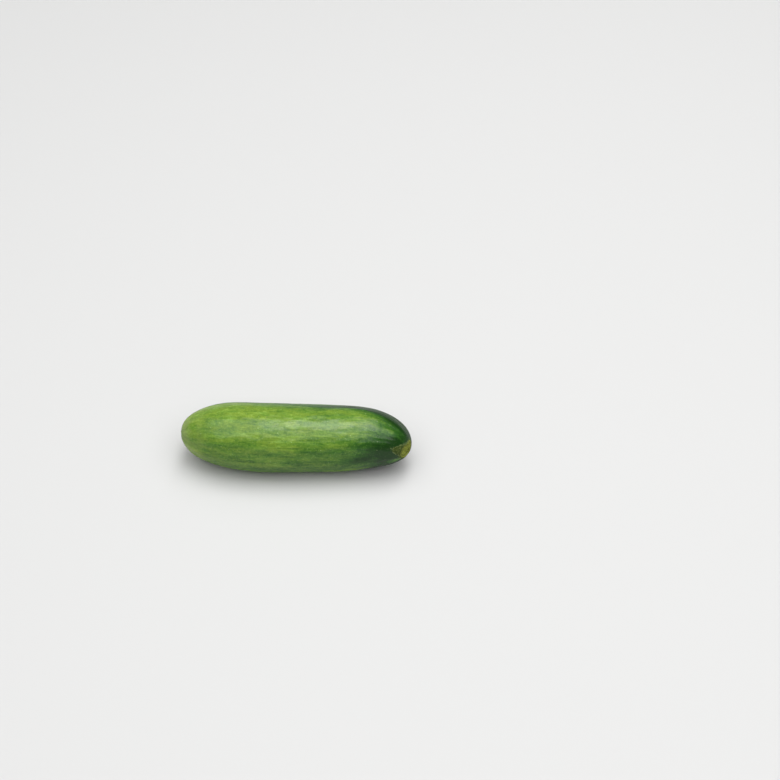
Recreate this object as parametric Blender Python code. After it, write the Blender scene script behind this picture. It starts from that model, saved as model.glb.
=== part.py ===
"""A baby cucumber lying on its belly. It grew as one piece, so it is one solid.

Metres, +Z up. +X runs from the blossom end to the stem end, along the chord between the two tips.
The origin is on the ground, under the middle of the fruit's box.
"""

import math

import bpy
import numpy as np

# Driving dimensions
SPINE_LENGTH = 0.1025
BODY_RADIUS = 0.0153
STEM_TAPER = 0.040  # share of its radius that the body loses from its middle to the stem cap
BLOSSOM_CAP = 0.0420  # length of the rounded blossom end
BLOSSOM_FULLNESS = 3.05  # 2 makes a cap's outline an ellipse, more makes it blunter
STEM_CAP = 0.0460  # length of the longer, more tapered stem end
STEM_FULLNESS = 3.26

# The spine bends in plan: these are the turns of its heading at each end
BLOSSOM_TURN = math.radians(7.4)
BLOSSOM_TURN_SPAN = 1.00  # share of the spine over which it straightens
STEM_TURN = math.radians(-31.5)
STEM_TURN_START = 0.69  # share of the spine at which the stem end starts to hook
END_LIFT = 0.0009  # how much higher the belly's line lies at both tips than in its middle

# Relief of the skin
LOBES, LOBE_HEIGHT, LOBE_TURN = 3, 0.00016, 0.7
RIBS, RIB_HEIGHT, RIB_TURN = 10, 0.00009, 0.3
RIB_WOBBLE = 0.35  # radians by which a rib wanders along the fruit
DENTS, DENT_DEPTH, DENT_SEED = 7, 0.00007, 11
WARTS, WART_HEIGHT, WART_RADIUS, WART_SEED = 34, 0.00010, 0.0020, 5
WART_ENDS = 0.12  # share of the fruit at either end that has no warts
BELLY_CALM = 0.35  # share of the radius, from below, over which the relief dies out on the belly
GOLDEN_ANGLE = math.pi * (3 - math.sqrt(5))

# The scar where the stalk broke off: an oblique plane with a corky rim round a shallow dish
SCAR_DEPTH = 0.0009  # how much of the tip the scar's plane takes off
SCAR_TILT = math.radians(-16.0)  # turn of that plane in plan, from square to the spine
SCAR_RISE = math.radians(8.0)  # how far the scar looks up
SCAR_RINGS = ((0.95, 0.00014), (0.87, 0.00020), (0.77, 0.00004), (0.55, -0.00022), (0.25, -0.00034))
SCAR_MIDDLE = -0.00036

# The mark where the flower was
DIMPLE_DEPTH, DIMPLE_RADIUS = 0.00050, 0.0021
NUB_HEIGHT, NUB_RADIUS = 0.00055, 0.0009

FLAT_DEPTH = 0.00025  # how much of the belly the ground's plane takes off

# Fineness of the mesh
RINGS, SIDES = 84, 64
END_CROWDING = 0.6  # 0 spaces the rings evenly, 1 crowds them towards the tips
CURVE_SAMPLES = 4000
TIP_SAMPLES = 400

SKIN_COLOUR = (0.095, 0.215, 0.040, 1.0)
SKIN_ROUGHNESS = 0.36


def smooth(x):
    """0 below 0, 1 above 1, and an even rise between them."""
    x = np.clip(x, 0.0, 1.0)
    return x * x * (3 - 2 * x)


def girth_at(share):
    """The body's radius at this share of the spine, as if its ends weren't closed."""
    return BODY_RADIUS * (1 - STEM_TAPER * smooth((share - 0.35) / 0.45))


def spine_samples():
    """The spine's shares of length, its points, and its headings in plan, with the chord along +X."""
    share = np.linspace(0.0, 1.0, CURVE_SAMPLES)
    heading = BLOSSOM_TURN * (smooth(share / BLOSSOM_TURN_SPAN) - 1)
    heading = heading + STEM_TURN * smooth((share - STEM_TURN_START) / (1 - STEM_TURN_START))
    step = SPINE_LENGTH / (CURVE_SAMPLES - 1)
    for _ in range(2):
        middle = (heading[1:] + heading[:-1]) / 2
        x = np.concatenate([[0.0], np.cumsum(np.cos(middle)) * step])
        y = np.concatenate([[0.0], np.cumsum(np.sin(middle)) * step])
        heading = heading - math.atan2(y[-1], x[-1])
    z = girth_at(share) - BODY_RADIUS + END_LIFT * (2 * share - 1) ** 2
    return share, np.stack([x, y, z], axis=1), heading


def round_end(distance, cap, fullness):
    """Share of the full radius at this distance from a tip."""
    inside = 1 - np.clip(distance / cap, 0.0, 1.0)
    return np.sqrt(1 - inside**fullness)


def radius_at(share):
    """The plain round body's radius at this share of the spine."""
    along = share * SPINE_LENGTH
    blossom = round_end(along, BLOSSOM_CAP, BLOSSOM_FULLNESS)
    stem = round_end(SPINE_LENGTH - along, STEM_CAP, STEM_FULLNESS)
    return girth_at(share) * blossom * stem


def wart_places():
    """Shares and angles of the warts, on a golden-angle spiral with a seeded scatter."""
    draw = np.random.default_rng(WART_SEED)
    turn = np.arange(WARTS)
    spread = 1 - 2 * WART_ENDS
    share = WART_ENDS + spread * (turn + 0.5 + draw.uniform(-0.8, 0.8, WARTS)) / WARTS
    angle = turn * GOLDEN_ANGLE + draw.uniform(-0.35, 0.35, WARTS)
    return share, angle


def relief(share, angle):
    """How far the skin stands off the plain round body: lobes, ribs, slow dents and warts."""
    near_end = 1 - np.sin(np.pi * share)
    wobble = RIB_WOBBLE * np.sin(2 * np.pi * share + 1.0)
    height = LOBE_HEIGHT * np.cos(LOBES * angle + LOBE_TURN)
    height = height + RIB_HEIGHT * (0.5 + 0.6 * near_end) * np.cos(RIBS * angle + RIB_TURN + wobble)
    draw = np.random.default_rng(DENT_SEED)
    for _ in range(DENTS):
        turns, waves = draw.integers(1, 6), draw.uniform(0.6, 3.2)
        phases = draw.uniform(0.0, 2 * math.pi, 2)
        across = np.cos(turns * angle + phases[0])
        height = height + DENT_DEPTH * across * np.cos(2 * math.pi * waves * share + phases[1])
    for place, turn in zip(*wart_places()):
        across = (angle - turn + math.pi) % (2 * math.pi) - math.pi
        distance = np.hypot((share - place) * SPINE_LENGTH, across * BODY_RADIUS)
        height = height + WART_HEIGHT * np.exp(-2 * (distance / WART_RADIUS) ** 2)
    return height * smooth((1 + np.sin(angle)) / BELLY_CALM)


def skin_points(share, angle):
    """Points of the skin before the blossom's mark and the flat belly are made."""
    samples, centres, headings = spine_samples()
    centre = np.stack([np.interp(share, samples, centres[:, i]) for i in range(3)], axis=-1)
    heading = np.interp(share, samples, headings)
    plain = radius_at(share)
    radius = plain + relief(share, angle) * smooth(plain / BODY_RADIUS / 0.7 - 0.25)
    across = radius * np.cos(angle)
    up = radius * np.sin(angle)
    return centre + np.stack([-np.sin(heading) * across, np.cos(heading) * across, up], axis=-1)


def stem_tip_points(angle):
    """Shares close to the stem tip, and the skin's points at them on the lines at these angles."""
    share = 1 - 0.15 * np.linspace(1.0, 0.0, TIP_SAMPLES) ** 2
    return share, skin_points(*np.meshgrid(share, angle, indexing="ij"))


def scar_plane():
    """The middle of the scar and the way it faces."""
    heading = spine_samples()[2][-1] + SCAR_TILT
    level = math.cos(SCAR_RISE)
    outward = np.array([level * math.cos(heading), level * math.sin(heading), math.sin(SCAR_RISE)])
    tip = stem_tip_points(np.linspace(0.0, 2 * math.pi, 361))[1].reshape(-1, 3)
    return tip[np.argmax(tip @ outward)] - SCAR_DEPTH * outward, outward


def scar_edge(angle):
    """The share of the spine at which the line at each angle meets the scar's plane."""
    middle, outward = scar_plane()
    share, points = stem_tip_points(angle)
    height = (points - middle) @ outward
    last = len(share) - 2 - np.argmax(height[-2::-1] < 0, axis=0)
    line = np.arange(len(angle))
    below, above = height[last, line], height[last + 1, line]
    return share[last] + (share[last + 1] - share[last]) * below / (below - above)


def ring_shares(rings, angle):
    """Shares of the spine for the rings' points, from the blossom tip to the scar's edge."""
    share = (1 - np.cos(np.linspace(0.0, math.pi, CURVE_SAMPLES))) / 2
    outline = np.hypot(np.diff(share) * SPINE_LENGTH, np.diff(radius_at(share)))
    outline = np.concatenate([[0.0], np.cumsum(outline)])
    t = np.linspace(0.0, 1.0, rings + 1)
    wanted = (1 - END_CROWDING) * t + END_CROWDING * (1 - np.cos(math.pi * t)) / 2
    edge = np.interp(scar_edge(angle), share, outline)
    return np.interp(np.outer(wanted, edge), outline, share)


def scar_points(edge):
    """Rings inside the scar's edge, and the scar's middle as one more point."""
    middle, outward = scar_plane()
    rings = [middle + part * (edge - middle) + height * outward for part, height in SCAR_RINGS]
    return np.concatenate(rings + [[middle + SCAR_MIDDLE * outward]])


def with_blossom_mark(points):
    """A shallow dimple with a small nub in it, where the flower fell off."""
    _, centres, headings = spine_samples()
    inward = np.array([math.cos(headings[0]), math.sin(headings[0]), 0.0])
    offset = points - centres[0]
    depth = offset @ inward
    from_axis = np.linalg.norm(offset - np.outer(depth, inward), axis=1)
    dimple = DIMPLE_DEPTH * np.exp(-((from_axis / DIMPLE_RADIUS) ** 2))
    nub = NUB_HEIGHT * np.exp(-((from_axis / NUB_RADIUS) ** 2))
    return points + np.outer((dimple - nub) * (depth < BLOSSOM_CAP / 2), inward)


def on_the_ground(points):
    """The fruit set down: a small flat on the belly at z = 0, and its box centred over the origin."""
    points = points.copy()
    points[:, 2] = np.maximum(points[:, 2] - points[:, 2].min() - FLAT_DEPTH, 0.0)
    middle = (points.min(axis=0) + points.max(axis=0)) / 2
    points[:, :2] -= middle[:2]
    return points


def fruit_points(rings, sides):
    """The blossom tip, rings of the skin up to the scar's edge, and the scar."""
    angle = np.arange(sides) * 2 * math.pi / sides
    share = ring_shares(rings, angle)[1:]
    skin = skin_points(share, np.broadcast_to(angle, share.shape))
    tip = spine_samples()[1][:1]
    return on_the_ground(
        with_blossom_mark(np.concatenate([tip, skin.reshape(-1, 3), scar_points(skin[-1])]))
    )


def cucumber_mesh():
    """The closed skin as one mesh: triangles round both end points, and quads between the rings."""
    points = fruit_points(RINGS, SIDES)
    last_ring = RINGS + len(SCAR_RINGS) - 1
    last_point = len(points) - 1
    side = np.arange(SIDES)
    following = (side + 1) % SIDES
    faces = [(0, 1 + b, 1 + a) for a, b in zip(side, following)]
    for ring in range(last_ring):
        here, beyond = 1 + ring * SIDES, 1 + (ring + 1) * SIDES
        faces += [(here + a, here + b, beyond + b, beyond + a) for a, b in zip(side, following)]
    end = 1 + last_ring * SIDES
    faces += [(last_point, end + a, end + b) for a, b in zip(side, following)]
    mesh = bpy.data.meshes.new("cucumber")
    mesh.from_pydata(points.tolist(), [], [tuple(int(i) for i in face) for face in faces])
    mesh.validate()
    mesh.shade_smooth()
    return mesh


def skin_material():
    """Waxy green skin, in one plain colour."""
    material = bpy.data.materials.new("skin")
    material.use_nodes = True
    shader = material.node_tree.nodes["Principled BSDF"]
    shader.inputs["Base Color"].default_value = SKIN_COLOUR
    shader.inputs["Roughness"].default_value = SKIN_ROUGHNESS
    shader.inputs["Metallic"].default_value = 0.0
    material.diffuse_color = SKIN_COLOUR
    return material


def main():
    for old in list(bpy.data.objects):
        bpy.data.objects.remove(old)
    cucumber = bpy.data.objects.new("cucumber", cucumber_mesh())
    cucumber.data.materials.append(skin_material())
    bpy.context.scene.collection.objects.link(cucumber)


main()
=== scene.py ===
"""A baby cucumber on a plain pale floor: its waxy, streaked skin, its stem scar and its blossom mark."""

import math

import bpy
import numpy as np
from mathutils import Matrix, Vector


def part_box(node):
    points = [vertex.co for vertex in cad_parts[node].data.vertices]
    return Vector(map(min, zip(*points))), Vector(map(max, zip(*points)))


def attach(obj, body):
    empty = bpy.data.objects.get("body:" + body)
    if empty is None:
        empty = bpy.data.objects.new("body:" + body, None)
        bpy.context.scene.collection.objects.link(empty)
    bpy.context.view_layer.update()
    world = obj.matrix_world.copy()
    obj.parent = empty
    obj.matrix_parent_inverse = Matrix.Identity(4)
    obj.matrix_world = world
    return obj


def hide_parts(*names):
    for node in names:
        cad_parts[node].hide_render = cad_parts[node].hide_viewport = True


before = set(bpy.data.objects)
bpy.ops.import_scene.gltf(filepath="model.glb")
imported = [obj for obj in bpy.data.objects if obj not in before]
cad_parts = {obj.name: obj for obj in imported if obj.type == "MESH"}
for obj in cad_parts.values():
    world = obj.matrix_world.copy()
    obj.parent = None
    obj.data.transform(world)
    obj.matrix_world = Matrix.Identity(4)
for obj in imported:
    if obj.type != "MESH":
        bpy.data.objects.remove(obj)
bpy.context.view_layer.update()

# The fruit's own dimensions, in metres, as in its solid
SPINE_LENGTH = 0.1025
BODY_RADIUS = 0.0153
STEM_TAPER, TAPER_START, TAPER_SPAN = 0.040, 0.35, 0.45
BLOSSOM_CAP, BLOSSOM_FULLNESS = 0.0420, 3.05
STEM_CAP, STEM_FULLNESS = 0.0460, 3.26
BLOSSOM_TURN, BLOSSOM_TURN_SPAN = math.radians(7.4), 1.00
STEM_TURN, STEM_TURN_START = math.radians(-31.5), 0.69
END_LIFT = 0.0009
LOBES, LOBE_HEIGHT, LOBE_TURN = 3, 0.00016, 0.7
RIBS, RIB_HEIGHT, RIB_TURN, RIB_WOBBLE = 10, 0.00009, 0.3, 0.35
RIBS_IN_MIDDLE, RIBS_AT_ENDS = 0.5, 0.6
DENTS, DENT_DEPTH, DENT_SEED = 7, 0.00007, 11
DENT_TURNS, DENT_WAVES = (1, 6), (0.6, 3.2)
WARTS, WART_HEIGHT, WART_RADIUS, WART_SEED = 34, 0.00010, 0.0020, 5
WART_ENDS = 0.12
BELLY_CALM = 0.35
GOLDEN_ANGLE = math.pi * (3 - math.sqrt(5))
SCATTER_ALONG, SCATTER_AROUND = 0.8, 0.35
SCAR_DEPTH, SCAR_TILT, SCAR_RISE = 0.0009, math.radians(-16.0), math.radians(8.0)
DIMPLE_DEPTH, DIMPLE_RADIUS = 0.00050, 0.0021
NUB_HEIGHT, NUB_RADIUS = 0.00055, 0.0009
FLAT_DEPTH = 0.00025
CURVE_SAMPLES = 4000
TIP_SAMPLES, TIP_LINES, TIP_SHARE = 400, 361, 0.15
# The relief fades with the fruit's girth towards both tips, and the finer relief closer to them
RELIEF_GIRTH, RELIEF_START = 0.7, 0.25
FINE_GIRTH = 0.6

# The stem scar's surface: its rim as (height in metres, place, width) and the dish in it as
# (depth in metres, edge, width of its slope), with places and widths as shares of the scar's radius
RIM = (0.00020, 0.88, 0.09)
DISH = (0.00036, 0.86, 0.6)
RIM_WAVES = ((0.35, 3, 1.0), (0.25, 7, 2.0))  # (strength, turns round the scar, phase)
CORK_WAVES, CORK_TURNS, CORK_INWARD, CORK_HEIGHT, CORK_SEED = 50, (3, 26), (2.0, 14.0), 0.000030, 31
CORK_EDGE, CORK_CENTRE = 0.1, 0.15

# Finer relief than the solid has: (how many waves, fewest and most turns round the fruit,
# shortest and longest wave along it, their height together, seed)
SWELLS = (26, 5, 14, 0.014, 0.050, 0.000030, 21)
RIPPLES = (60, 16, 44, 0.006, 0.024, 0.000017, 22)
GRAIN = (60, 50, 120, 0.0015, 0.006, 0.0000022, 23)
FURROWS, FURROW_SEED = 190, 24
FURROW_DEPTH = (0.000008, 0.000034)
FURROW_HALF_LENGTH = (0.0015, 0.0070)
FURROW_HALF_WIDTH = (0.0005, 0.0011)
PIMPLES, PIMPLE_HEIGHT, PIMPLE_RADIUS, PIMPLE_SEED = 46, 0.00006, 0.00043, 8
PIMPLE_ENDS, PIMPLE_SPOT = 0.06, 1.1
FINE_BELLY_CALM = 0.1
# The pimples that show best on the fruit's front, as shares of its length and degrees round it
FRONT_PIMPLES = (
    (0.560, 77), (0.795, 78), (0.555, 147), (0.430, 122), (0.346, 95), (0.292, 89), (0.608, 150),
    (0.503, 178), (0.194, 150), (0.712, 130), (0.225, 155), (0.640, 176), (0.874, 132), (0.144, 116),
)

# Lightness of the skin, from 0 (darkest green) to 1 (lightest).
# Stripes that run all along it: (degrees round the fruit, half width in degrees, how much lighter)
STRIPES = (
    (54, 11, -0.06), (92, 8, 0.05), (112, 7, -0.02), (132, 8, 0.03), (150, 6, -0.05), (170, 7, 0.05),
    (198, 9, -0.08), (222, 9, 0.08), (246, 7, -0.05), (272, 18, 0.12), (304, 9, -0.08), (326, 8, 0.08),
    (352, 10, -0.09), (18, 9, 0.09),
)
# Soft streaks on the front, listed one by one: partly tones of the skin, partly painted light and shade. The
# light ones near 186 to 196 degrees are painted light from the ground, and the one at share 0.968 is a
# painted reflection under the stem scar; the light one at 62 degrees is a painted sheen and the dark one at
# 55 degrees is painted shade along the top edge.
# (share, degrees, half length as a share, half width in degrees, how much lighter)
FRONT_STREAKS_AND_PAINTED_LIGHT = (
    (0.60, 155, 0.10, 6.0, -0.20), (0.20, 152, 0.07, 9.0, -0.05),
    (0.13, 122, 0.05, 12.0, -0.08), (0.21, 108, 0.020, 6.0, 0.12), (0.04, 186, 0.08, 24.0, 0.34),
    (0.15, 62, 0.17, 15.0, 0.20), (0.33, 92, 0.10, 5.0, 0.06), (0.48, 132, 0.12, 4.0, 0.05),
    (0.30, 136, 0.04, 4.0, -0.06), (0.52, 168, 0.08, 4.0, 0.06), (0.34, 170, 0.10, 5.0, 0.07),
    (0.28, 178, 0.06, 3.0, -0.06), (0.36, 160, 0.06, 3.0, -0.05), (0.63, 108, 0.08, 5.0, 0.05),
    (0.74, 55, 0.30, 13.5, -0.54), (0.68, 178, 0.16, 9.0, -0.12), (0.62, 130, 0.08, 4.0, -0.07),
    (0.97, 120, 0.08, 50.0, -0.14), (0.62, 95, 0.05, 32.0, -0.11), (0.71, 105, 0.06, 14.0, -0.06),
    (0.86, 88, 0.05, 14.0, -0.10), (0.79, 105, 0.05, 14.0, -0.08), (0.85, 106, 0.03, 8.0, -0.12),
    (0.42, 180, 0.05, 6.0, 0.08), (0.54, 157, 0.03, 5.0, -0.08), (0.87, 168, 0.07, 20.0, 0.15),
    (0.968, 195, 0.030, 14.0, 0.55), (0.70, 140, 0.05, 8.0, -0.06), (0.87, 122, 0.05, 8.0, 0.12),
    (0.83, 196, 0.10, 11.0, 0.36), (0.46, 147, 0.04, 5.0, 0.09), (0.44, 184, 0.06, 6.0, 0.07),
    (0.22, 192, 0.12, 10.0, 0.12), (0.62, 77, 0.03, 10.0, -0.08), (0.54, 129, 0.02, 4.0, -0.09),
    (0.905, 116, 0.025, 8.0, 0.14), (0.94, 86, 0.04, 10.0, 0.12), (0.40, 151, 0.12, 5.0, 0.13),
    (0.30, 186, 0.14, 8.0, 0.09),
)
STREAKS, STREAK_STRENGTH, STREAK_SEED = 480, 0.095, 41
STREAK_HALF_LENGTH = (0.008, 0.070)
STREAK_HALF_WIDTH = (0.028, 0.085)
DRIFT = (14, 1, 3, 0.030, 0.090, 0.07, 42)  # how far the stripes wander round the fruit, as waves
BLOTCHES = (40, 2, 12, 0.008, 0.040, 0.016, 43)
SIDE_LIGHTNESS, TOP_LIGHTNESS = 0.47, 0.17
TOP_START, TOP_SPAN = 0.2, 0.6
# The stripes fade in over this share from the blossom tip, and end at this share after fading out
FADE_IN, STRIPE_END, FADE_OUT = 0.2, 0.95, 0.35
STREAKS_AT_ENDS = 0.3
ALL_ALONG = 10.0  # a half length, as a share, that makes a streak even over the whole fruit
BLOSSOM_LIGHTNESS, BLOSSOM_LIGHT_SPAN = 0.06, 0.14
STEM_DARKNESS, STEM_DARK_SPAN = 0.60, 0.26
STEM_DARK_START, STEM_DARK_SLANT = 0.645, 0.12
STEM_DARK_TOP, STEM_DARK_WIDTH = math.radians(97), math.radians(31)
STEM_FRINGE = (24, 3, 16, 0.030, 0.120, 0.018, 44)
# How far the cork and the dry skin round it reach past the stem scar's edge:
# (degrees, half width in degrees, reach)
CORK_TONGUES = ((54, 24, 0.50), (136, 30, -0.22), (165, 30, -0.20), (-20, 40, -0.10), (250, 36, -0.06))
DRY_TONGUES = ((143, 17, 1.00), (54, 22, 0.46), (228, 26, 0.20), (300, 20, 0.10))
SCAR_LOOK_SPAN = 0.0035  # metres past the scar's edge that make a reach of 1
FAR_FROM_SCAR = 2.0
TIP_LIGHTNESS, SCAR_LIGHTNESS = 0.6, 0.3
BLOSSOM_MARK = 1.15  # radius of the brown mark at the blossom tip, in millimetres
MILLIMETRES = 1000  # in a metre

# Fineness of the skin's mesh
RINGS, SIDES, SCAR_STEPS = 300, 288, 24
END_CROWDING = 0.35
SCAR_MAP_SHARE = 0.07  # share of the texture map's height that the scar takes

# The skin's greens by lightness, the browns and dry greens by the cork's noise, and the tints over them
GREENS = (
    (0.00, (0.009, 0.039, 0.005)),
    (0.25, (0.028, 0.098, 0.012)),
    (0.50, (0.086, 0.184, 0.023)),
    (0.75, (0.165, 0.280, 0.036)),
    (1.00, (0.270, 0.418, 0.078)),
)
CORK_COLOURS = (
    (0.28, (0.070, 0.080, 0.014)),
    (0.42, (0.170, 0.200, 0.031)),
    (0.55, (0.300, 0.350, 0.058)),
    (0.74, (0.380, 0.370, 0.110)),
)
DRY_COLOURS = (
    (0.30, (0.014, 0.032, 0.007)),
    (0.48, (0.042, 0.068, 0.014)),
    (0.58, (0.090, 0.118, 0.028)),
    (0.70, (0.270, 0.290, 0.120)),
)
BLOSSOM_BROWNS = ((0.35, (0.070, 0.048, 0.018)), (0.65, (0.260, 0.200, 0.090)))
BLUER_TINT, YELLOWER_TINT = (0.91, 0.99, 1.00, 1.0), (1.09, 1.02, 0.96, 1.0)
# The yellow end's colour has its blue raised as a painted pale sheen near the blossom tip
YELLOW_END_WITH_SHEEN, YELLOW_STRENGTH, YELLOW_REACH = (0.290, 0.352, 0.105, 1.0), 0.45, 0.17
SPECKLE_COLOUR = (0.32, 0.48, 0.15, 1.0)
PIMPLE_COLOUR, PIMPLE_STRENGTH = (0.48, 0.60, 0.28, 1.0), 0.60
# Painted shade in the stem scar's groove and cracks: its colour, and how far each darkens towards it
CRACK_AND_GROOVE_SHADE_COLOUR, GROOVE_SHADE, CRACK_SHADE = (0.025, 0.030, 0.008, 1.0), 0.45, 0.40
DRY_RIM_COLOUR, DRY_RIM_STRENGTH = (0.190, 0.240, 0.090, 1.0), 0.6
PALE_RING_COLOUR, PALE_RING_STRENGTH = (0.290, 0.330, 0.100, 1.0), 0.45
PLAIN_GREEN = (0.1, 0.2, 0.04, 1.0)

# How strongly each pattern changes the lightness, and how much of that is left on the darkest skin
STREAK_CONTRAST, FLECK_CONTRAST, MEALY_CONTRAST, MOTTLE_CONTRAST = 0.44, 0.64, 0.68, 0.26
DARK_SKIN, DARK_CONTRAST = 0.45, 0.45
SPECKLES_ON_DARK, SPECKLES_ON_LIGHT = 0.05, 0.16
RAGGED_EDGE, RAGGED_CORK = 0.9, 0.45

# The skin's surface: a waxy coat over a body without gloss of its own
SKIN_ROUGHNESS, FLECK_ROUGHNESS, CORK_ROUGHNESS = 0.48, 0.30, 0.30
SKIN_IOR, SKIN_SPECULAR = 1.45, 0.0
COAT_WEIGHT, COAT_ON_CORK, COAT_ROUGHNESS, COAT_IOR = 0.45, 0.08, 0.15, 1.60
BUMP_STRENGTH, BUMP_DISTANCE = 0.8, 0.00012
STREAK_BUMP, FLECK_BUMP, MEALY_BUMP, CORK_BUMP = 0.8, 0.8, 0.5, 2.0

# The studio: (name, x, y, z, width, depth, radiance) of each light, the floor and the light all round
LIGHTS = (
    ("overhead", 0.14, -0.36, 1.4, 2.38, 1.98, 2.25),
    ("key", 0.11, 0.16, 1.2, 0.42, 0.92, 4.8),
    ("back", 0.325, 0.84, 1.2, 0.43, 0.60, 2.4),
)
FLOOR_COLOUR, FLOOR_ROUGHNESS, FLOOR_SPECULAR = (0.60, 0.60, 0.596, 1.0), 0.9, 0.2
FLOOR_HALF_WIDTH, FLOOR_GAP = 12.0, 0.00002
HORIZON_LIGHT, SKY_LIGHT = 0.40, 0.10
HORIZON_HEIGHT, SKY_HEIGHT = 0.05, 0.35  # heights of the directions between which it dims
WORLD_COLOUR = (1.0, 1.0, 1.0, 1.0)

# The photograph's view: 780 pixels of 0.4416 mm at the fruit, seen through an 85 mm lens
VIEW_AZIMUTH, VIEW_ELEVATION = math.radians(5.6), math.radians(50.0)
PHOTO_PIXELS, PIXEL_SIZE = 780, 0.0004416
FRUIT_MIDDLE_IN_PHOTO = (296.3, 436.7)
LENS, SENSOR = 85.0, 36.0
NEAREST, FARTHEST = 0.01, 100.0

# Places of the colour sockets on a Mix node, which has sockets for every kind of data
MIX_FACTOR, MIX_A, MIX_B, MIX_RESULT = 0, 6, 7, 2


def smooth(x):
    """0 below 0, 1 above 1, and an even rise between them."""
    x = np.clip(x, 0.0, 1.0)
    return x * x * (3 - 2 * x)


def girth_at(share):
    """The body's radius at this share of the spine, as if its ends weren't closed."""
    return BODY_RADIUS * (1 - STEM_TAPER * smooth((share - TAPER_START) / TAPER_SPAN))


def spine_samples():
    """The spine's shares of length, its points, and its headings in plan, with the chord along +X."""
    share = np.linspace(0.0, 1.0, CURVE_SAMPLES)
    heading = BLOSSOM_TURN * (smooth(share / BLOSSOM_TURN_SPAN) - 1)
    heading = heading + STEM_TURN * smooth((share - STEM_TURN_START) / (1 - STEM_TURN_START))
    step = SPINE_LENGTH / (CURVE_SAMPLES - 1)
    for _ in range(2):
        middle = (heading[1:] + heading[:-1]) / 2
        x = np.concatenate([[0.0], np.cumsum(np.cos(middle)) * step])
        y = np.concatenate([[0.0], np.cumsum(np.sin(middle)) * step])
        heading = heading - math.atan2(y[-1], x[-1])
    z = girth_at(share) - BODY_RADIUS + END_LIFT * (2 * share - 1) ** 2
    return share, np.stack([x, y, z], axis=1), heading


def round_end(distance, cap, fullness):
    """Share of the full radius at this distance from a tip."""
    inside = 1 - np.clip(distance / cap, 0.0, 1.0)
    return np.sqrt(1 - inside**fullness)


def radius_at(share):
    """The plain round body's radius at this share of the spine."""
    along = share * SPINE_LENGTH
    blossom = round_end(along, BLOSSOM_CAP, BLOSSOM_FULLNESS)
    stem = round_end(SPINE_LENGTH - along, STEM_CAP, STEM_FULLNESS)
    return girth_at(share) * blossom * stem


def scattered(count, ends, seed):
    """Shares and angles of small marks, on a golden-angle spiral with a seeded scatter."""
    draw = np.random.default_rng(seed)
    turn = np.arange(count)
    share = ends + (1 - 2 * ends) * (turn + 0.5 + draw.uniform(-SCATTER_ALONG, SCATTER_ALONG, count)) / count
    angle = turn * GOLDEN_ANGLE + draw.uniform(-SCATTER_AROUND, SCATTER_AROUND, count)
    return share, angle


def bumps(share, angle, places, radius):
    """Sum of round bumps of height 1 at the given shares and angles."""
    height = np.zeros(np.broadcast(share, angle).shape)
    for place, turn in zip(*places):
        across = (angle - turn + math.pi) % (2 * math.pi) - math.pi
        distance = np.hypot((share - place) * SPINE_LENGTH, across * BODY_RADIUS)
        height = height + np.exp(-2 * (distance / radius) ** 2)
    return height


def waves(share, angle, count, fewest, most, shortest, longest, height, seed):
    """Even random relief that closes round the fruit: a sum of slanting waves."""
    draw = np.random.default_rng(seed)
    total = np.zeros(np.broadcast(share, angle).shape)
    for _ in range(count):
        turns = draw.integers(fewest, most + 1)
        along = draw.choice([-1, 1]) * SPINE_LENGTH / draw.uniform(shortest, longest)
        phase = draw.uniform(0.0, 2 * math.pi)
        total = total + np.cos(turns * angle + 2 * math.pi * along * share + phase)
    return height * total * math.sqrt(2 / count)


def relief(share, angle):
    """How far the solid's skin stands off the plain round body."""
    near_end = 1 - np.sin(np.pi * share)
    wobble = RIB_WOBBLE * np.sin(2 * np.pi * share + 1.0)
    rib_height = RIB_HEIGHT * (RIBS_IN_MIDDLE + RIBS_AT_ENDS * near_end)
    height = LOBE_HEIGHT * np.cos(LOBES * angle + LOBE_TURN)
    height = height + rib_height * np.cos(RIBS * angle + RIB_TURN + wobble)
    draw = np.random.default_rng(DENT_SEED)
    for _ in range(DENTS):
        turns, waves_along = draw.integers(*DENT_TURNS), draw.uniform(*DENT_WAVES)
        phases = draw.uniform(0.0, 2 * math.pi, 2)
        across = np.cos(turns * angle + phases[0])
        height = height + DENT_DEPTH * across * np.cos(2 * math.pi * waves_along * share + phases[1])
    warts = bumps(share, angle, scattered(WARTS, WART_ENDS, WART_SEED), WART_RADIUS)
    return (height + WART_HEIGHT * warts) * smooth((1 + np.sin(angle)) / BELLY_CALM)


def streak(share, angle, place, turn, half_length, half_width):
    """A soft mark of height 1, drawn out along the fruit; its half width is in radians."""
    across = (angle - turn + math.pi) % (2 * math.pi) - math.pi
    return np.exp(-(((share - place) / half_length) ** 2) - (across / half_width) ** 2)


def random_streaks(share, angle, count, lengths, widths, strengths, seed):
    """The sum of many streaks at random places, with both signs."""
    draw = np.random.default_rng(seed)
    total = np.zeros(share.shape)
    for _ in range(count):
        place, turn = draw.uniform(0.0, 1.0), draw.uniform(0.0, 2 * math.pi)
        half_length, half_width = draw.uniform(*lengths), draw.uniform(*widths)
        strength = draw.uniform(*strengths) * draw.choice([-1, 1])
        total = total + strength * streak(share, angle, place, turn, half_length, half_width)
    return total


def furrows(share, angle):
    """Short shallow grooves and welts along the fruit."""
    lengths = np.array(FURROW_HALF_LENGTH) / SPINE_LENGTH
    widths = np.array(FURROW_HALF_WIDTH) / BODY_RADIUS
    return random_streaks(share, angle, FURROWS, lengths, widths, FURROW_DEPTH, FURROW_SEED)


def pimple_places():
    """Shares and angles of all the pimples."""
    share, angle = scattered(PIMPLES, PIMPLE_ENDS, PIMPLE_SEED)
    front = np.array(FRONT_PIMPLES)
    return np.concatenate([share, front[:, 0]]), np.concatenate([angle, np.radians(front[:, 1])])


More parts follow.
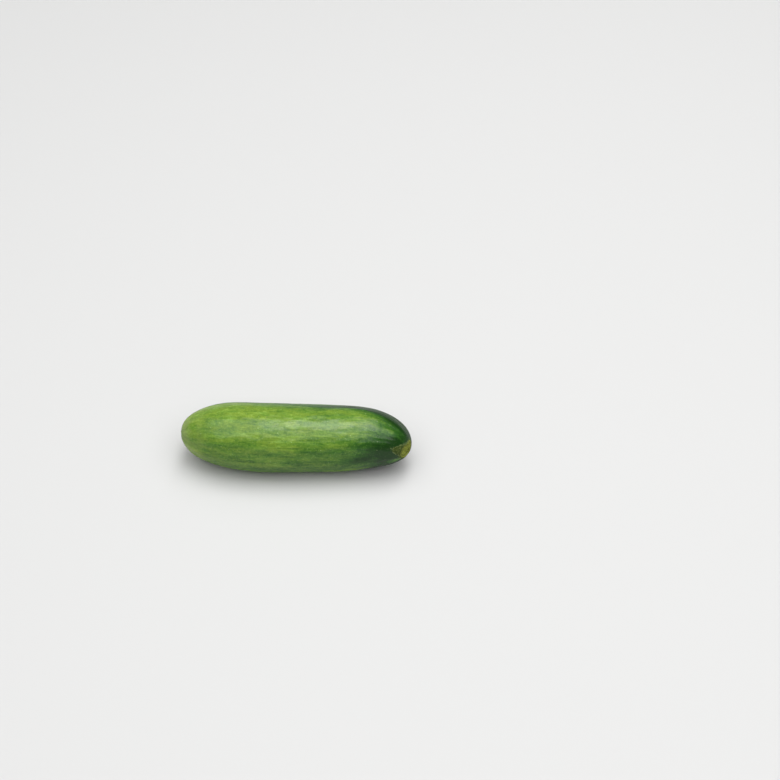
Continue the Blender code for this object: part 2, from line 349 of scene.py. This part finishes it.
def fine_relief(share, angle):
    """What the skin has beyond the solid's relief: swells, ripples, furrows, grain and pimples."""
    height = waves(share, angle, *SWELLS) + waves(share, angle, *RIPPLES) + waves(share, angle, *GRAIN)
    pimples = bumps(share, angle, pimple_places(), PIMPLE_RADIUS)
    height = height + furrows(share, angle) + PIMPLE_HEIGHT * pimples
    return height * smooth((1 + np.sin(angle)) / FINE_BELLY_CALM)


def lightness_with_painted_light(share, angle):
    """How light the skin is drawn: stripes and streaks that wander a little, a dark stem end, and painted
    light and shade among the front streaks.
    """
    wandering = angle + waves(share, angle, *DRIFT)
    light = SIDE_LIGHTNESS + TOP_LIGHTNESS * smooth((np.sin(angle) - TOP_START) / TOP_SPAN)
    light = light + waves(share, angle, *BLOTCHES)
    light = light + BLOSSOM_LIGHTNESS * smooth(1 - share / BLOSSOM_LIGHT_SPAN)
    fading = smooth(share / FADE_IN) * smooth((STRIPE_END - share) / FADE_OUT)
    for turn, half_width, strength in STRIPES:
        stripe = streak(share, wandering, 0.5, math.radians(turn), ALL_ALONG, math.radians(half_width))
        light = light + strength * fading * stripe
    # Among the front streaks are painted light from the ground, a painted reflection under the stem scar, a
    # painted sheen and painted shade along the top edge
    for place, turn, half_length, half_width, strength in FRONT_STREAKS_AND_PAINTED_LIGHT:
        widths = half_length, math.radians(half_width)
        light = light + strength * streak(share, angle, place, math.radians(turn), *widths)
    shorts = STREAK_HALF_LENGTH, STREAK_HALF_WIDTH, (0.0, STREAK_STRENGTH)
    amount = STREAKS_AT_ENDS + (1 - STREAKS_AT_ENDS) * fading
    light = light + random_streaks(share, wandering, STREAKS, *shorts, STREAK_SEED) * amount
    top = streak(0.0, angle, 0.0, STEM_DARK_TOP, 1.0, STEM_DARK_WIDTH)
    start = STEM_DARK_START + STEM_DARK_SLANT * top + waves(share, angle, *STEM_FRINGE)
    return light - STEM_DARKNESS * smooth((share - start) / STEM_DARK_SPAN)


def scar_reach(angle, tongues):
    """How far a look of the stem scar reaches past its edge at each angle."""
    reach = np.zeros(np.shape(angle))
    for turn, half_width, height in tongues:
        reach = reach + height * streak(0.0, angle, 0.0, math.radians(turn), 1.0, math.radians(half_width))
    return reach


def skin_points(share, angle, fine=0.0):
    """Points of the skin before the blossom's mark and the flat belly are made."""
    samples, centres, headings = spine_samples()
    centre = np.stack([np.interp(share, samples, centres[:, i]) for i in range(3)], axis=-1)
    heading = np.interp(share, samples, headings)
    plain = radius_at(share)
    radius = plain + relief(share, angle) * smooth(plain / BODY_RADIUS / RELIEF_GIRTH - RELIEF_START)
    radius = radius + fine * smooth(plain / BODY_RADIUS / FINE_GIRTH)
    across = radius * np.cos(angle)
    up = radius * np.sin(angle)
    return centre + np.stack([-np.sin(heading) * across, np.cos(heading) * across, up], axis=-1)


def stem_tip_points(angle):
    """Shares close to the stem tip, and the skin's points at them on the lines at these angles."""
    share = 1 - TIP_SHARE * np.linspace(1.0, 0.0, TIP_SAMPLES) ** 2
    return share, skin_points(*np.meshgrid(share, angle, indexing="ij"))


def scar_plane():
    """The middle of the scar and the way it faces."""
    heading = spine_samples()[2][-1] + SCAR_TILT
    level = math.cos(SCAR_RISE)
    outward = np.array([level * math.cos(heading), level * math.sin(heading), math.sin(SCAR_RISE)])
    tip = stem_tip_points(np.linspace(0.0, 2 * math.pi, TIP_LINES))[1].reshape(-1, 3)
    return tip[np.argmax(tip @ outward)] - SCAR_DEPTH * outward, outward


def scar_edge(angle):
    """The share of the spine at which the line at each angle meets the scar's plane."""
    middle, outward = scar_plane()
    share, points = stem_tip_points(angle)
    height = (points - middle) @ outward
    last = len(share) - 2 - np.argmax(height[-2::-1] < 0, axis=0)
    line = np.arange(len(angle))
    below, above = height[last, line], height[last + 1, line]
    return share[last] + (share[last + 1] - share[last]) * below / (below - above)


def ring_shares(rings, angle):
    """Shares of the spine for the rings' points, and how far each is along the skin from the tip."""
    share = (1 - np.cos(np.linspace(0.0, math.pi, CURVE_SAMPLES))) / 2
    outline = np.hypot(np.diff(share) * SPINE_LENGTH, np.diff(radius_at(share)))
    outline = np.concatenate([[0.0], np.cumsum(outline)])
    t = np.linspace(0.0, 1.0, rings + 1)
    wanted = (1 - END_CROWDING) * t + END_CROWDING * (1 - np.cos(math.pi * t)) / 2
    along = np.outer(wanted, np.interp(scar_edge(angle), share, outline))
    return np.interp(along, outline, share), along


def scar_height(part, angle):
    """Height of the scar over its plane at this share of its radius: a corky rim round a dish."""
    uneven = 1
    for strength, turns, phase in RIM_WAVES:
        uneven = uneven + strength * np.cos(turns * angle + phase)
    rim_height, rim_place, rim_width = RIM
    rim = rim_height * uneven * np.exp(-(((part - rim_place) / rim_width) ** 2))
    dish_depth, dish_edge, dish_slope = DISH
    dish = -dish_depth * smooth((dish_edge - part) / dish_slope)
    draw = np.random.default_rng(CORK_SEED)
    cork = np.zeros(np.broadcast(part, angle).shape)
    for _ in range(CORK_WAVES):
        turns, inward = draw.integers(*CORK_TURNS), draw.uniform(*CORK_INWARD)
        cork = cork + np.cos(turns * angle + inward * part * math.pi + draw.uniform(0, 2 * math.pi))
    roughness = CORK_HEIGHT * cork / math.sqrt(CORK_WAVES / 2)
    return rim + dish + roughness * smooth((1 - part) / CORK_EDGE) * smooth(part / CORK_CENTRE)


def with_blossom_mark(points):
    """A shallow dimple with a small nub in it, where the flower fell off."""
    _, centres, headings = spine_samples()
    inward = np.array([math.cos(headings[0]), math.sin(headings[0]), 0.0])
    offset = points - centres[0]
    depth = offset @ inward
    from_axis = np.linalg.norm(offset - np.outer(depth, inward), axis=1)
    dimple = DIMPLE_DEPTH * np.exp(-((from_axis / DIMPLE_RADIUS) ** 2))
    nub = NUB_HEIGHT * np.exp(-((from_axis / NUB_RADIUS) ** 2))
    return points + np.outer((dimple - nub) * (depth < BLOSSOM_CAP / 2), inward)


def on_the_ground(points, lowest):
    """The fruit set down on its flat belly, with its box centred where the solid's is."""
    points = points.copy()
    points[:, 2] = np.maximum(points[:, 2] - lowest - FLAT_DEPTH, 0.0)
    middle = (points.min(axis=0) + points.max(axis=0)) / 2
    lo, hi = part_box("cucumber")
    points[:, 0] += (lo[0] + hi[0]) / 2 - middle[0]
    points[:, 1] += (lo[1] + hi[1]) / 2 - middle[1]
    points[:, 2] += lo[2]
    return points


def fruit_arrays():
    """The fruit's points, and for each the values that its material reads."""
    angle = np.arange(SIDES) * 2 * math.pi / SIDES
    share, along = ring_shares(RINGS, angle)
    share, along = share[1:], along[1:]
    angles = np.broadcast_to(angle, share.shape)
    skin = skin_points(share, angles, fine_relief(share, angles))
    middle, outward = scar_plane()
    edge = skin[-1]
    parts = (1 - np.arange(1, SCAR_STEPS) / SCAR_STEPS)[:, None]
    heights = scar_height(parts, angle[None, :])
    scar = middle + parts[:, :, None] * (edge - middle) + heights[:, :, None] * outward
    centre = middle + scar_height(0.0, 0.0) * outward
    tip = spine_samples()[1][:1]
    points = np.concatenate([tip, skin.reshape(-1, 3), scar.reshape(-1, 3), centre[None, :]])
    points = on_the_ground(with_blossom_mark(points), points[:, 2].min())

    width = BODY_RADIUS * np.sqrt(radius_at(share) / BODY_RADIUS)
    flow = np.stack([width * np.cos(angles), width * np.sin(angles), along], axis=-1)
    last = flow[-1]
    scar_flow = last[None] * np.concatenate(
        [np.repeat(parts[:, :, None], 2, axis=2), np.ones_like(parts)[:, :, None]], axis=2
    )
    flow = np.concatenate([[[0, 0, 0]], flow.reshape(-1, 3), scar_flow.reshape(-1, 3), [[0, 0, last[0, 2]]]])

    def per_point(tip_value, skin_values, scar_values, end_value):
        scar_values = np.broadcast_to(scar_values, (SCAR_STEPS - 1, SIDES))
        return np.concatenate([[tip_value], skin_values.ravel(), scar_values.ravel(), [end_value]])

    shares = per_point(0.0, share, 1.0, 1.0)
    turns = per_point(0.0, angles, angle[None, :], 0.0)
    distance = np.linalg.norm(skin - middle, axis=-1)
    past_edge = distance - np.linalg.norm(edge - middle, axis=-1)
    scar_part = per_point(FAR_FROM_SCAR, 1 + past_edge / SCAR_LOOK_SPAN, parts, 0.0)
    pimples = per_point(0.0, bumps(share, angles, pimple_places(), PIMPLE_RADIUS * PIMPLE_SPOT), 0.0, 0.0)
    lightness = per_point(TIP_LIGHTNESS, lightness_with_painted_light(share, angles), SCAR_LIGHTNESS, SCAR_LIGHTNESS)
    return points, {
        "flow": flow * MILLIMETRES,
        "share": shares,
        "cork_part": scar_part - scar_reach(turns, CORK_TONGUES),
        "dry_part": scar_part - scar_reach(turns, DRY_TONGUES),
        "pimple": pimples,
        "lightness": lightness,
    }


def fruit_faces():
    """Quads between the rings, triangles at both end points, and each corner's place in the texture map."""
    side = np.arange(SIDES)
    following = (side + 1) % SIDES
    rings = RINGS + SCAR_STEPS - 1
    start = 1 + np.arange(rings - 1)[:, None] * SIDES
    quads = np.stack(
        [start + side, start + following, start + SIDES + following, start + SIDES + side], axis=-1
    ).reshape(-1, 4)
    end = 1 + (rings - 1) * SIDES
    last_point = end + SIDES
    tip_faces = np.stack([np.zeros_like(side), 1 + following, 1 + side], axis=-1)
    end_faces = np.stack([np.full_like(side, last_point), end + side, end + following], axis=-1)
    level = np.concatenate(
        [
            np.arange(RINGS + 1) / RINGS * (1 - SCAR_MAP_SHARE),
            1 - SCAR_MAP_SHARE + SCAR_MAP_SHARE * np.arange(1, SCAR_STEPS + 1) / SCAR_STEPS,
        ]
    )
    u0, u1 = side / SIDES, (side + 1) / SIDES
    low, high = level[1:rings, None], level[2 : rings + 1, None]
    flat = np.zeros((rings - 1, SIDES))
    quad_u = np.stack([flat + u0, flat + u1, flat + u1, flat + u0], axis=-1)
    quad_v = np.stack([flat + low, flat + low, flat + high, flat + high], axis=-1)
    quad_uv = np.stack([quad_u, quad_v], axis=-1).reshape(-1, 2)
    one = np.ones(SIDES)
    tip_u = np.stack([(u0 + u1) / 2, u1, u0], axis=-1)
    tip_v = np.stack([0 * one, one * level[1], one * level[1]], axis=-1)
    tip_uv = np.stack([tip_u, tip_v], axis=-1).reshape(-1, 2)
    end_u = np.stack([(u0 + u1) / 2, u0, u1], axis=-1)
    end_v = np.stack([one, one * level[rings], one * level[rings]], axis=-1)
    end_uv = np.stack([end_u, end_v], axis=-1).reshape(-1, 2)
    faces = tip_faces.tolist() + quads.tolist() + end_faces.tolist()
    return faces, np.concatenate([tip_uv, quad_uv, end_uv])


def skin_mesh():
    """The fruit as one fine closed mesh with its texture map and attributes."""
    points, values = fruit_arrays()
    faces, corner_uv = fruit_faces()
    mesh = bpy.data.meshes.new("cucumber_skin")
    mesh.from_pydata(points.tolist(), [], faces)
    uv_map = mesh.uv_layers.new(name="OFBake")
    uv_map.data.foreach_set("uv", corner_uv.astype(np.float32).ravel())
    for name, value in values.items():
        kind = "FLOAT_VECTOR" if value.ndim == 2 else "FLOAT"
        attribute = mesh.attributes.new(name, kind, "POINT")
        attribute.data.foreach_set("vector" if value.ndim == 2 else "value", value.astype(np.float32).ravel())
    mesh.shade_smooth()
    return mesh


class Nodes:
    """Short ways of adding nodes to one node tree."""

    def __init__(self, tree):
        self.tree = tree

    def add(self, kind, inputs=(), **settings):
        """A new node with these settings, and these values or links at its inputs."""
        node = self.tree.nodes.new(kind)
        for name, value in settings.items():
            setattr(node, name, value)
        for name, value in dict(inputs).items():
            self.put(value, node.inputs[name])
        return node

    def put(self, value, socket):
        """Links an output to the socket, or sets the socket's own value."""
        if isinstance(value, bpy.types.NodeSocket):
            self.tree.links.new(value, socket)
        else:
            socket.default_value = value

    def math(self, operation, a, b=0.0, clamp=False):
        return self.add("ShaderNodeMath", {0: a, 1: b}, operation=operation, use_clamp=clamp).outputs[0]

    def band(self, value, low, high, out_low=0.0, out_high=1.0):
        """A smooth step from out_low below low to out_high above high."""
        inputs = {"Value": value, "From Min": low, "From Max": high, "To Min": out_low, "To Max": out_high}
        return self.add("ShaderNodeMapRange", inputs, interpolation_type="SMOOTHSTEP").outputs["Result"]

    def attribute(self, name, output="Fac"):
        return self.add("ShaderNodeAttribute", attribute_name=name).outputs[output]

    def drawn_out(self, flow, along):
        """Places on the skin for a pattern that is 1 / along times as long as it is wide."""
        inputs = {"Vector": flow, "Scale": (1.0, 1.0, along)}
        return self.add("ShaderNodeMapping", inputs, vector_type="POINT").outputs["Vector"]

    def noise(self, vector, scale, detail=2.0, roughness=0.5, distortion=0.0):
        inputs = {
            "Vector": vector,
            "Scale": scale,
            "Detail": detail,
            "Roughness": roughness,
            "Distortion": distortion,
        }
        return self.add("ShaderNodeTexNoise", inputs).outputs["Fac"]

    def centred(self, value, strength):
        """A 0 to 1 value as one round 0, times strength."""
        return self.math("MULTIPLY", self.math("SUBTRACT", value, 0.5), strength)

    def total(self, *values):
        result = values[0]
        for value in values[1:]:
            result = self.math("ADD", result, value)
        return result

    def mix(self, factor, a, b, blend="MIX"):
        node = self.add("ShaderNodeMix", data_type="RGBA", blend_type=blend, clamp_factor=True)
        self.put(factor, node.inputs[MIX_FACTOR])
        self.put(a, node.inputs[MIX_A])
        self.put(b, node.inputs[MIX_B])
        return node.outputs[MIX_RESULT]

    def ramp(self, factor, stops):
        node = self.add("ShaderNodeValToRGB", {"Fac": factor})
        elements = node.color_ramp.elements
        while len(elements) < len(stops):
            elements.new(0.5)
        for element, (position, colour) in zip(elements, stops):
            element.position = position
            element.color = (*colour, 1.0)
        return node.outputs["Color"]


def green_skin(n, flow, plain, patterns):
    """Light and dark green with streaks, flecks and mottles, here bluer and there yellower."""
    streaks, flecks, mealy = patterns
    mottles = n.noise(n.drawn_out(flow, 0.50), 0.42, 2.0, 0.5, 0.5)
    mottling = n.total(
        n.centred(streaks, STREAK_CONTRAST),
        n.centred(flecks, FLECK_CONTRAST),
        n.centred(mealy, MEALY_CONTRAST),
        n.centred(mottles, MOTTLE_CONTRAST),
    )
    contrast = n.band(plain, 0.0, DARK_SKIN, DARK_CONTRAST, 1.0)
    green = n.ramp(n.math("ADD", plain, n.math("MULTIPLY", mottling, contrast)), GREENS)
    hue = n.band(n.noise(n.drawn_out(flow, 0.28), 0.42, 3.0, 0.6), 0.34, 0.66)
    bluer = n.mix(1.0, green, BLUER_TINT, "MULTIPLY")
    yellower = n.mix(1.0, green, YELLOWER_TINT, "MULTIPLY")
    return n.mix(hue, bluer, yellower)


def with_yellow_end_and_sheen(n, flow, colour):
    """Patches of yellower skin round the blossom tip, paled in blue as a painted sheen."""
    near_tip = n.band(n.attribute("share"), YELLOW_REACH, 0.0)
    yellow = n.math("MULTIPLY", near_tip, n.band(n.noise(flow, 0.16, 2.0), 0.36, 0.60))
    return n.mix(n.math("MULTIPLY", yellow, YELLOW_STRENGTH), colour, YELLOW_END_WITH_SHEEN)


def with_spots(n, flow, plain, colour):
    """Fine speckles, fainter on the darkest skin, and the pale tips of the pimples."""
    cells = n.add("ShaderNodeTexVoronoi", {"Vector": flow, "Scale": 0.85}, feature="F1")
    speckle = n.band(cells.outputs["Distance"], 0.30, 0.14)
    amount = n.band(plain, 0.0, DARK_SKIN, SPECKLES_ON_DARK, SPECKLES_ON_LIGHT)
    colour = n.mix(n.math("MULTIPLY", speckle, amount), colour, SPECKLE_COLOUR)
    pimple = n.band(n.attribute("pimple"), 0.45, 0.85)
    return n.mix(n.math("MULTIPLY", pimple, PIMPLE_STRENGTH), colour, PIMPLE_COLOUR)


def with_dry_skin(n, flow, cork, ragged, colour):
    """The dry skin round the stem scar with its pale dotted rim, and where it lies."""
    part = n.math("ADD", n.attribute("dry_part"), ragged)
    mask = n.band(part, 1.12, 0.88)
    dots = n.band(n.noise(flow, 1.1, 2.0, 0.6), 0.46, 0.58)
    rim = n.math("MULTIPLY", n.band(part, 0.80, 0.95), n.band(part, 1.20, 1.02))
    rim = n.math("MULTIPLY", rim, dots)
    colour = n.mix(mask, colour, n.ramp(cork, DRY_COLOURS))
    return n.mix(n.math("MULTIPLY", rim, DRY_RIM_STRENGTH), colour, DRY_RIM_COLOUR), mask


def with_cork(n, flow, cork, ragged, colour):
    """The stem scar's cork with painted shade in its groove and cracks, and where it lies."""
    part = n.math("ADD", n.attribute("cork_part"), n.math("MULTIPLY", ragged, RAGGED_CORK))
    mask = n.band(part, 1.00, 0.86)
    # Painted shade: the cork darkens towards the shade colour in its groove and along its cracks
    groove = n.math("MULTIPLY", n.band(part, 0.52, 0.70), n.band(part, 0.88, 0.74))
    cells = n.add("ShaderNodeTexVoronoi", {"Vector": flow, "Scale": 0.75}, feature="DISTANCE_TO_EDGE")
    cracks = n.band(cells.outputs["Distance"], 0.10, 0.02)
    shade = n.total(1.0, n.math("MULTIPLY", groove, -GROOVE_SHADE), n.math("MULTIPLY", cracks, -CRACK_SHADE))
    return n.mix(mask, colour, n.mix(shade, CRACK_AND_GROOVE_SHADE_COLOUR, n.ramp(cork, CORK_COLOURS))), mask


def with_blossom_scar(n, flow, cork, colour):
    """The brown mark at the blossom tip with a pale ring round it, and where it lies."""
    from_tip = n.add("ShaderNodeSeparateXYZ", {"Vector": flow}).outputs["Z"]
    from_tip = n.math("ADD", from_tip, n.centred(n.noise(flow, 1.2, 3.0, 0.6), RAGGED_EDGE))
    ring = n.band(from_tip, BLOSSOM_MARK * 2.6, BLOSSOM_MARK)
    colour = n.mix(n.math("MULTIPLY", ring, PALE_RING_STRENGTH), colour, PALE_RING_COLOUR)
    mask = n.band(from_tip, BLOSSOM_MARK * 1.1, BLOSSOM_MARK * 0.8)
    return n.mix(mask, colour, n.ramp(cork, BLOSSOM_BROWNS)), mask


def finish_surface(n, shader, patterns, cork, corky):
    """The wax, which the corky parts lack, and the fine bumps."""
    streaks, flecks, mealy = patterns
    rougher = n.math("MULTIPLY", corky, CORK_ROUGHNESS)
    roughness = n.total(SKIN_ROUGHNESS, n.centred(flecks, FLECK_ROUGHNESS), rougher)
    n.put(roughness, shader.inputs["Roughness"])
    shader.inputs["IOR"].default_value = SKIN_IOR
    shader.inputs["Specular IOR Level"].default_value = SKIN_SPECULAR
    shader.inputs["Coat Weight"].default_value = COAT_WEIGHT
    n.put(n.band(corky, 0.0, 1.0, COAT_WEIGHT, COAT_ON_CORK), shader.inputs["Coat Weight"])
    shader.inputs["Coat Roughness"].default_value = COAT_ROUGHNESS
    shader.inputs["Coat IOR"].default_value = COAT_IOR
    height = n.total(
        n.math("MULTIPLY", streaks, STREAK_BUMP),
        n.math("MULTIPLY", flecks, FLECK_BUMP),
        n.math("MULTIPLY", mealy, MEALY_BUMP),
        n.math("MULTIPLY", n.math("MULTIPLY", cork, corky), CORK_BUMP),
    )
    settings = {"Height": height, "Strength": BUMP_STRENGTH, "Distance": BUMP_DISTANCE}
    normal = n.add("ShaderNodeBump", settings).outputs["Normal"]
    n.put(normal, shader.inputs["Normal"])
    n.put(normal, shader.inputs["Coat Normal"])


def skin_material():
    """Waxy skin in light and dark green streaks, with the corky scars at both tips."""
    material = bpy.data.materials.new("cucumber_skin")
    material.use_nodes = True
    n = Nodes(material.node_tree)
    shader = material.node_tree.nodes["Principled BSDF"]
    flow = n.attribute("flow", "Vector")
    plain = n.attribute("lightness")
    streaks = n.noise(n.drawn_out(flow, 0.14), 0.70, 3.0, 0.6, 0.3)
    flecks = n.noise(n.drawn_out(flow, 0.34), 1.0, 3.0, 0.65, 0.4)
    mealy = n.noise(flow, 0.95, 4.0, 0.80)
    patterns = streaks, flecks, mealy
    cork = n.noise(flow, 1.5, 4.0, 0.70)
    ragged = n.centred(n.noise(flow, 0.9, 4.0, 0.7), RAGGED_EDGE)

    colour = green_skin(n, flow, plain, patterns)
    colour = with_yellow_end_and_sheen(n, flow, colour)
    colour = with_spots(n, flow, plain, colour)
    colour, dry_mask = with_dry_skin(n, flow, cork, ragged, colour)
    colour, scar_mask = with_cork(n, flow, cork, ragged, colour)
    colour, blossom_mask = with_blossom_scar(n, flow, cork, colour)
    shader.inputs["Base Color"].default_value = PLAIN_GREEN
    n.put(colour, shader.inputs["Base Color"])
    corky = n.math("MAXIMUM", n.math("MAXIMUM", scar_mask, dry_mask), blossom_mask)
    finish_surface(n, shader, patterns, cork, corky)
    return material


def floor_material():
    """Pale and dull."""
    material = bpy.data.materials.new("floor")
    material.use_nodes = True
    shader = material.node_tree.nodes["Principled BSDF"]
    shader.inputs["Base Color"].default_value = FLOOR_COLOUR
    shader.inputs["Roughness"].default_value = FLOOR_ROUGHNESS
    shader.inputs["Specular IOR Level"].default_value = FLOOR_SPECULAR
    return material


def make_floor():
    """A plain square floor just under the fruit."""
    mesh = bpy.data.meshes.new("floor")
    half = FLOOR_HALF_WIDTH
    corners = [(-half, -half, 0), (half, -half, 0), (half, half, 0), (-half, half, 0)]
    mesh.from_pydata(corners, [], [(0, 1, 2, 3)])
    mesh.materials.append(floor_material())
    floor = bpy.data.objects.new("floor", mesh)
    floor.location.z = -FLOOR_GAP
    bpy.context.scene.collection.objects.link(floor)


def softbox(name, x, y, z, width, depth, radiance):
    """A level rectangular light that shines down with an even radiance."""
    data = bpy.data.lights.new(name, "AREA")
    data.shape = "RECTANGLE"
    data.size = width
    data.size_y = depth
    data.energy = radiance * math.pi * width * depth
    light = bpy.data.objects.new(name, data)
    light.location = (x, y, z)
    bpy.context.scene.collection.objects.link(light)


def make_world():
    """A dim studio with a pale band round the horizon."""
    world = bpy.data.worlds.new("studio")
    bpy.context.scene.world = world
    world.use_nodes = True
    n = Nodes(world.node_tree)
    background = world.node_tree.nodes["Background"]
    direction = n.add("ShaderNodeTexCoord").outputs["Generated"]
    up = n.add("ShaderNodeSeparateXYZ", {"Vector": direction}).outputs["Z"]
    level = n.band(up, HORIZON_HEIGHT, SKY_HEIGHT, HORIZON_LIGHT, SKY_LIGHT)
    n.put(level, background.inputs["Strength"])
    background.inputs["Color"].default_value = WORLD_COLOUR


def make_camera():
    """A camera at the photograph's angle that frames the fruit as the photograph does."""
    lo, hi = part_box("cucumber")
    centre = (Vector(lo) + Vector(hi)) / 2
    a, e = VIEW_AZIMUTH, VIEW_ELEVATION
    back = Vector((math.sin(a) * math.cos(e), -math.cos(a) * math.cos(e), math.sin(e)))
    right = Vector((math.cos(a), math.sin(a), 0.0))
    up = back.cross(right)
    half = PHOTO_PIXELS / 2
    aim = centre + right * (half - FRUIT_MIDDLE_IN_PHOTO[0]) * PIXEL_SIZE
    aim = aim + up * (FRUIT_MIDDLE_IN_PHOTO[1] - half) * PIXEL_SIZE
    data = bpy.data.cameras.new("camera")
    data.lens = LENS
    data.sensor_width = SENSOR
    data.clip_start = NEAREST
    data.clip_end = FARTHEST
    camera = bpy.data.objects.new("camera", data)
    camera.location = aim + back * (PIXEL_SIZE * PHOTO_PIXELS * LENS / SENSOR)
    camera.rotation_mode = "QUATERNION"
    camera.rotation_quaternion = (-back).to_track_quat("-Z", "Y")
    bpy.context.scene.collection.objects.link(camera)
    bpy.context.scene.camera = camera


cucumber = bpy.data.objects.new("cucumber_skin", skin_mesh())
cucumber.data.materials.append(skin_material())
bpy.context.scene.collection.objects.link(cucumber)
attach(cucumber, "root")
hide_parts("cucumber")

bpy.context.scene.view_settings.view_transform = "Standard"
make_world()
make_floor()
for light in LIGHTS:
    softbox(*light)
make_camera()
